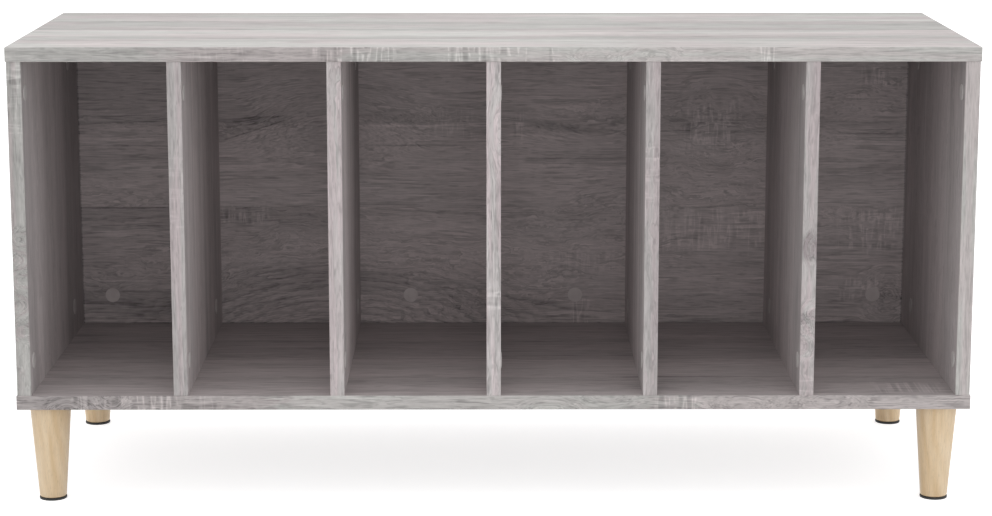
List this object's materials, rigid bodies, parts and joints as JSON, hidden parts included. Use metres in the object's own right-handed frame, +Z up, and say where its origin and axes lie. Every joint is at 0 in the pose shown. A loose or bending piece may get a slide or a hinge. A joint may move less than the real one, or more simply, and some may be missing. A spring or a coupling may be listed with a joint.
{
  "type": "record cabinet",
  "caption": "Low open cabinet with upright bays for record sleeves, grey wood-look boards on turned light wood legs.",
  "frame": {"origin": "on the floor under the middle of the cabinet", "axes": "+X to the right along the front, +Y from the open front to the back panel, +Z up"},
  "size_m": [1, 0.38, 0.4835],
  "materials": {
    "grey_oak_board": "grey rough-sawn oak look melamine on particle board, satin",
    "grey_oak_edge_band": "grey oak look edge band, satin",
    "light_wood_leg": "turned light softwood, clear matt lacquer",
    "black_glide": "black plastic, matt",
    "zinc_cam": "zinc die casting, as cast",
    "bright_steel": "zinc plated",
    "grey_cover_cap": "grey plastic, satin",
    "dowel_wood": "fluted beech, untreated"
  },
  "bodies": {
    "root": {"top_panel": "grey_oak_board", "bottom_panel": "grey_oak_board", "left_side_panel": "grey_oak_board", "right_side_panel": "grey_oak_board", "divider_1": "grey_oak_board", "divider_2": "grey_oak_board", "divider_3": "grey_oak_board", "divider_4": "grey_oak_board", "divider_5": "grey_oak_board", "back_panel": "grey_oak_board", "top_panel_band_front": "grey_oak_edge_band", "top_panel_band_rear": "grey_oak_edge_band", "top_panel_band_left": "grey_oak_edge_band", "top_panel_band_right": "grey_oak_edge_band", "bottom_panel_band_front": "grey_oak_edge_band", "bottom_panel_band_rear": "grey_oak_edge_band", "bottom_panel_band_left": "grey_oak_edge_band", "bottom_panel_band_right": "grey_oak_edge_band", "left_side_panel_band_front": "grey_oak_edge_band", "left_side_panel_band_rear": "grey_oak_edge_band", "right_side_panel_band_front": "grey_oak_edge_band", "right_side_panel_band_rear": "grey_oak_edge_band", "divider_1_band_front": "grey_oak_edge_band", "divider_2_band_front": "grey_oak_edge_band", "divider_3_band_front": "grey_oak_edge_band", "divider_4_band_front": "grey_oak_edge_band", "divider_5_band_front": "grey_oak_edge_band", "leg_front_left": "light_wood_leg", "leg_front_right": "light_wood_leg", "leg_rear_left": "light_wood_leg", "leg_rear_right": "light_wood_leg", "glide_front_left": "black_glide", "glide_front_right": "black_glide", "glide_rear_left": "black_glide", "glide_rear_right": "black_glide", "side_cam_locks": "zinc_cam", "divider_cam_locks": "zinc_cam", "back_cam_locks": "zinc_cam", "side_cam_bolts": "bright_steel", "divider_cam_bolts": "bright_steel", "back_cam_bolts": "bright_steel", "hanger_bolts": "bright_steel", "threaded_inserts": "bright_steel", "side_cover_caps": "grey_cover_cap", "divider_cover_caps": "grey_cover_cap", "back_cover_caps": "grey_cover_cap", "side_dowels": "dowel_wood", "divider_dowels": "dowel_wood", "back_dowels": "dowel_wood"}
  },
  "joints": []
}
